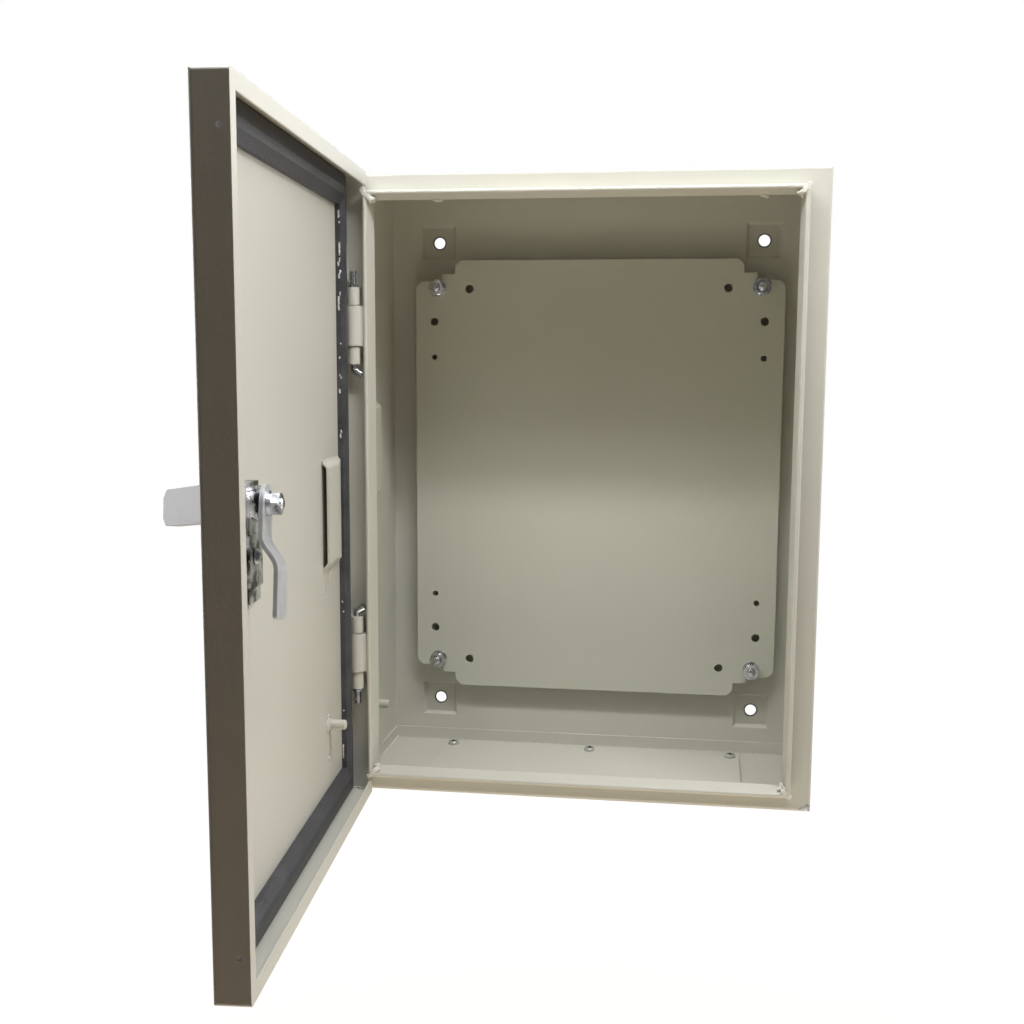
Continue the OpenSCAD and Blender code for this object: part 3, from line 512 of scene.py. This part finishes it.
for top, low, rise in fleck_rows_mm:
    fleck_y = panel_face + rise / 1000
    lay_bead(flecks, (seal_side, fleck_y, top / 1000), (seal_side, fleck_y, low / 1000),
             radius=0.0006 if top - low > long_fleck else 0.0005,
             lumps=max(2, round((top - low) * lumps_per_mm)))
bmesh.ops.transform(flecks, matrix=hang, verts=flecks.verts)
# Pale lumps standing for glints of the foam's skin: painted highlights.
glint_fleck_coat = powder_coat("painted_glint_coat", paint_chip(236, 236, 234), paint_chip(206, 206, 202), gloss=0.35)
new_piece("seal_flecks", flecks, "door", glint_fleck_coat)

# Lock: a zinc die-cast case and spindle with a rippled bright chrome skin,
# clamped to the panel by a saddle and one screw; a bent satin cam on the
# spindle, held by washers and a nut; a satin pop-out handle outside. The dark
# blue patches blended into both chromes' colour are painted reflections; on
# the case and saddle they are kept to the door's inner side.
# The dark blue-grey patches in this colour are painted reflections.
chrome = plated_steel("bright_chrome", paint_chip(240, 241, 245), paint_chip(112, 117, 129), gloss=0.14,
                      ripple=0.3, mottle_and_reflection=(0.38, 0.58))
dress(chrome, "lock_screw", "lock_spindle", "cam_washer", "cam_spring_washer", "cam_nut", "handle_pin",
      "release_button", "button_clip")
door_inward = opened.to_3x3() @ Vector((0.0, 1.0, 0.0))
behind_panel = door_inward.dot(hang @ Vector((0.0, panel_face, 0.0))) - 0.0001
# The near-black blue patches in this colour are painted reflections.
cast_chrome = plated_steel("cast_chrome", paint_chip(250, 251, 255), paint_chip(24, 28, 40), gloss=0.12,
                           ripple=0.3, body=0.9, mottle_and_reflection=(0.46, 0.56), patch=120.0,
                           inside=(door_inward, behind_panel))
dress(cast_chrome, "lock_housing", "lock_clamp")
satin_cam = plated_steel("satin_cam", paint_chip(208, 210, 214), paint_chip(192, 194, 199),
                         gloss=0.42, body=0.55)
dress(satin_cam, "lock_cam")
satin_handle = plated_steel("satin_handle", paint_chip(226, 227, 230), paint_chip(219, 220, 223),
                            gloss=0.5, body=0.35)
dress(satin_handle, "handle")

# Studio: a pale floor well below the box, as if it hung on a wall, and a white
# backdrop; soft lights overhead in front of the box, to its right and behind it,
# and a warm bounce from below.
floor_level, floor_half = -0.75, 6.0
floor_mesh = bpy.data.meshes.new("studio_floor")
floor_shape = bmesh.new()
bmesh.ops.create_grid(floor_shape, x_segments=1, y_segments=1, size=floor_half,
                      matrix=Matrix.Translation((0.0, 0.0, floor_level)))
floor_shape.to_mesh(floor_mesh)
floor_shape.free()
studio_floor = bpy.data.objects.new("studio_floor", floor_mesh)
scene.collection.objects.link(studio_floor)


def ray_kinds(wire):
    kinds = ("Camera", "Glossy", "Transmission")
    return [wire.node("ShaderNodeLightPath", out=f"Is {kind} Ray") for kind in kinds]


white = (1.0, 1.0, 1.0, 1.0)
pale, wire = new_finish("pale_floor")
shown, mirrored, passed = ray_kinds(wire)
matt = wire.node("ShaderNodeBsdfDiffuse", None, {"Color": paint_chip(240, 208, 172)})
across, deep, _ = wire.place()
away = (across * across + deep * deep).root().clamped(0.3, 1.4)
glow = wire.node("ShaderNodeEmission", None, {"Color": white, "Strength": 1.06 + away * 0.10})
share = (shown + mirrored * 0.5 + passed).clamped(0.0, 1.0) * 0.88
wire.node("ShaderNodeOutputMaterial", None, {
    "Surface": wire.node("ShaderNodeMixShader", None, {0: share, 1: matt, 2: glow})})
floor_mesh.materials.append(pale)


def soft_light(name, place, aim, size, watts, tint=(1.0, 1.0, 1.0)):
    lamp = bpy.data.lights.new(name, "AREA")
    lamp.shape = "RECTANGLE"
    lamp.size, lamp.size_y = size
    lamp.energy = watts
    lamp.color = tint
    holder = bpy.data.objects.new(name, lamp)
    holder.location = place
    holder.rotation_euler = (Vector(aim) - Vector(place)).to_track_quat("-Z", "Y").to_euler()
    scene.collection.objects.link(holder)


warm = (1.0, 0.96, 0.84)
soft_light("overhead_edge", (0.05, -0.43, 0.66), (0.05, -0.43, 0.0), size=(0.90, 0.05), watts=3.15)
soft_light("overhead_high", (0.05, -0.39, 0.62), (0.05, -0.39, 0.0), size=(0.90, 0.06), watts=1.2)
soft_light("overhead_middle", (0.05, -0.36, 0.50), (0.05, -0.36, 0.0), size=(0.90, 0.08), watts=2.0)
soft_light("overhead_right", (0.30, -0.30, 0.60), (0.0, -0.27, 0.0), size=(0.60, 0.25), watts=1.8)
soft_light("overhead_left", (-0.20, -0.38, 0.50), (-0.10, -0.38, 0.0), size=(0.30, 0.10), watts=0.35)
soft_light("right_screen", (1.20, 0.30, 0.10), (-0.15, -0.25, 0.0), size=(0.80, 1.00), watts=6.5)
soft_light("right_middle", (0.90, -0.25, 0.10), (-0.10, -0.25, 0.10), size=(0.40, 1.00), watts=0.6)
soft_light("behind_left", (-1.30, 0.90, 0.10), (-0.15, -0.10, 0.0), size=(1.20, 0.80), watts=10.0)
soft_light("behind_right", (0.30, 1.60, 0.05), (0.0, -0.10, 0.0), size=(1.00, 0.80), watts=5.0)
soft_light("bounce_far", (0.12, -0.34, -0.62), (0.0, -0.05, 0.15), size=(0.70, 0.12), watts=1.2, tint=warm)
soft_light("bounce_near", (0.12, -0.38, -0.45), (0.0, -0.05, 0.15), size=(0.70, 0.08), watts=0.15, tint=warm)
soft_light("bounce_left", (-0.02, -0.36, -0.70), (0.10, -0.05, 0.15), size=(0.20, 0.10), watts=0.45,
           tint=warm)

world = bpy.data.worlds.new("studio")
scene.world = world
world.use_nodes = True
world.node_tree.nodes.clear()
wire = Wire(world.node_tree)
shown, mirrored, passed = ray_kinds(wire)
heading = wire.node("ShaderNodeTexCoord", out="Generated")
ahead = wire.node("ShaderNodeSeparateXYZ", None, {0: heading}, out=1)
lit_side = ahead.clamped(-0.45, 0.25) * 0.85 + 0.1
strength = (shown + passed + mirrored * lit_side).clamped(0.0, 1.0)
backdrop = wire.node("ShaderNodeBackground", None, {"Color": white, "Strength": strength})
wire.node("ShaderNodeOutputWorld", None, {"Surface": backdrop})
scene.view_settings.view_transform = "Standard"
